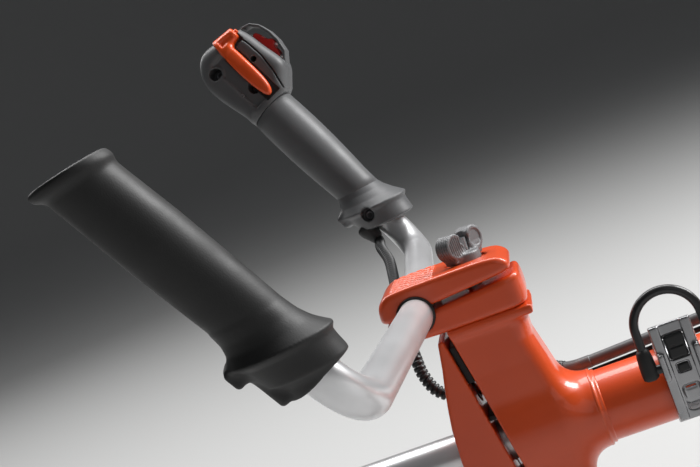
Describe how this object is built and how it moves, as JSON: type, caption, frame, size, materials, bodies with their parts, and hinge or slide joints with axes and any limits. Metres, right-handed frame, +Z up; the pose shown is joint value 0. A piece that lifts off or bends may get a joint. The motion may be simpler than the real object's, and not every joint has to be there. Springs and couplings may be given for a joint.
{
  "type": "string trimmer",
  "caption": "Petrol string trimmer with a bicycle-style handlebar in a quick-turn clamp, throttle handle, long drive tube, angled gearbox, guard and bump-feed line head.",
  "frame": {"origin": "centre of the engine's flat foot, on the surface that it stands on", "axes": "+X along the shaft towards the engine (rear), +Y towards the operator's right, +Z up"},
  "size_m": [1.8057, 0.6593, 0.4785],
  "materials": {
    "orange_paint": "gloss",
    "orange_plastic": "semi gloss",
    "bright_aluminium": "satin",
    "cast_grey": "as cast",
    "steel": "satin",
    "dark_steel": "ground",
    "grey_plastic": "fine texture",
    "black_plastic": "fine texture",
    "black_coating": "semi gloss",
    "black_rubber": "matte",
    "red_plastic": "semi gloss",
    "white_plastic": "translucent satin",
    "ceramic": "glazed",
    "nylon": "gloss",
    "rope": "braided"
  },
  "bodies": {
    "shaft_frame": {"handle_support": "orange_paint", "front_clamp": "orange_paint", "av_dampers": "black_rubber", "av_spring": "steel", "clamp_bolt": "steel", "cable_conduit": "grey_plastic", "suspension_bracket": "steel", "shaft_tube": "bright_aluminium", "rear_tube": "orange_paint", "shaft_bushings": "black_rubber", "gearbox_housing": "cast_grey", "gearbox_bearings": "steel", "guard": "black_plastic", "guard_screws": "steel", "line_cutter": "steel", "clutch_housing": "black_plastic", "crankcase": "cast_grey", "cylinder": "cast_grey", "spark_plug": "ceramic", "engine_cover": "orange_plastic", "muffler": "dark_steel", "carburettor": "cast_grey", "air_filter_cover": "black_plastic", "fuel_tank": "white_plastic", "starter_housing": "black_plastic", "connecting_rod": "steel"},
    "bar_clamp": {"lower_clamp": "orange_paint", "upper_clamp": "orange_paint"},
    "handlebar": {"handlebar": "bright_aluminium", "left_grip": "black_rubber", "right_grip": "grey_plastic", "right_collar": "grey_plastic", "throttle_inner": "grey_plastic", "throttle_outer": "grey_plastic", "handle_screws": "steel", "cable_loom": "black_plastic"},
    "clamp_knob": {"clamp_knob": "cast_grey"},
    "throttle_trigger": {"throttle_trigger": "orange_plastic"},
    "throttle_lockout": {"throttle_lockout": "black_plastic"},
    "stop_switch": {"stop_switch": "red_plastic"},
    "suspension_ring": {"suspension_ring": "black_coating"},
    "drive": {"drive_shaft": "steel", "clutch_drum": "dark_steel", "pinion": "dark_steel"},
    "cutting_head": {"crown_gear": "dark_steel", "output_shaft": "steel", "head_housing": "black_plastic", "head_spool": "orange_plastic", "cutting_lines": "nylon", "head_spring": "steel"},
    "bump_button": {"bump_button": "black_plastic"},
    "crank": {"crankshaft": "steel", "flywheel": "cast_grey", "clutch_shoes": "cast_grey"},
    "piston": {"piston": "bright_aluminium"},
    "choke_lever": {"choke_lever": "red_plastic"},
    "fuel_cap": {"fuel_cap": "black_plastic"},
    "starter_grip": {"starter_grip": "black_rubber", "starter_rope": "rope"},
    "starter_pulley": {"starter_pulley": "grey_plastic"}
  },
  "joints": [
    {"name": "handle_swivel", "type": "hinge", "parent": "shaft_frame", "child": "bar_clamp", "pos_m": [-0.572, 0, 0.234], "axis": [0, 0, 1], "range_deg": [0, 90], "deforming": ["cable_loom"]},
    {"name": "bar_tilt", "type": "hinge", "parent": "bar_clamp", "child": "handlebar", "pos_m": [-0.6115, 0, 0.2507], "axis": [0, 1, 0], "range_deg": [-15, 15], "deforming": ["cable_loom"]},
    {"name": "knob_turn", "type": "hinge", "parent": "bar_clamp", "child": "clamp_knob", "pos_m": [-0.572, 0, 0.28], "axis": [0, 0, 1], "continuous": true},
    {"name": "throttle_press", "type": "hinge", "parent": "handlebar", "child": "throttle_trigger", "pos_m": [-0.72991, 0.30155, 0.45885], "axis": [0.8862, 0, 0.4633], "range_deg": [0, 9], "stiffness_Nm_per_rad": 0.6, "springref_deg": -20.05},
    {"name": "lockout_press", "type": "hinge", "parent": "handlebar", "child": "throttle_lockout", "pos_m": [-0.71983, 0.32882, 0.43956], "axis": [-0.8862, 0, -0.4633], "range_deg": [0, 8], "stiffness_Nm_per_rad": 0.4, "springref_deg": -20.05},
    {"name": "stop_press", "type": "hinge", "parent": "handlebar", "child": "stop_switch", "pos_m": [-0.6895, 0.31146, 0.44955], "axis": [0.0908, 0.9806, -0.1736], "range_deg": [0, 6], "stiffness_Nm_per_rad": 0.2, "springref_deg": -17.19},
    {"name": "ring_swing", "type": "hinge", "parent": "shaft_frame", "child": "suspension_ring", "pos_m": [-0.4662, -0.031, 0.168], "axis": [1, 0, 0], "range_deg": [-15, 150]},
    {"name": "drive_spin", "type": "hinge", "parent": "shaft_frame", "child": "drive", "pos_m": [-1.6, 0, 0.15], "axis": [1, 0, 0], "continuous": true},
    {"name": "head_spin", "type": "hinge", "parent": "shaft_frame", "child": "cutting_head", "pos_m": [-1.6, 0, 0.15], "axis": [-0.5, 0, -0.866], "continuous": true},
    {"name": "bump_press", "type": "slide", "parent": "cutting_head", "child": "bump_button", "axis": [0.5, 0, 0.866], "range_m": [0, 0.006], "stiffness_N_per_m": 1500, "springref_m": -0.01, "deforming": ["head_spring"]},
    {"name": "crank_spin", "type": "hinge", "parent": "shaft_frame", "child": "crank", "pos_m": [0, 0, 0.15], "axis": [1, 0, 0], "continuous": true, "deforming": ["connecting_rod"]},
    {"name": "piston_stroke", "type": "slide", "parent": "shaft_frame", "child": "piston", "axis": [0, 0, -1], "range_m": [0, 0.028], "deforming": ["connecting_rod"]},
    {"name": "choke_turn", "type": "hinge", "parent": "shaft_frame", "child": "choke_lever", "pos_m": [0.038, -0.099, 0.212], "axis": [1, 0, 0], "range_deg": [0, 70]},
    {"name": "fuel_cap_turn", "type": "hinge", "parent": "shaft_frame", "child": "fuel_cap", "pos_m": [-0.035, -0.07, 0.068], "axis": [0, -1, 0], "continuous": true},
    {"name": "starter_pull", "type": "slide", "parent": "shaft_frame", "child": "starter_grip", "axis": [0, -1, 0], "range_m": [0, 0.75], "stiffness_N_per_m": 15, "springref_m": -0.5, "deforming": ["starter_rope"]},
    {"name": "pulley_spin", "type": "hinge", "parent": "shaft_frame", "child": "starter_pulley", "pos_m": [0.067, 0, 0.15], "axis": [1, 0, 0], "range_deg": [0, 1400]}
  ],
  "couplings": [
    {"joint": "head_spin", "follows": "drive_spin", "ratio": -0.66667},
    {"joint": "pulley_spin", "follows": "starter_pull", "rad_per_m": 31.496}
  ]
}
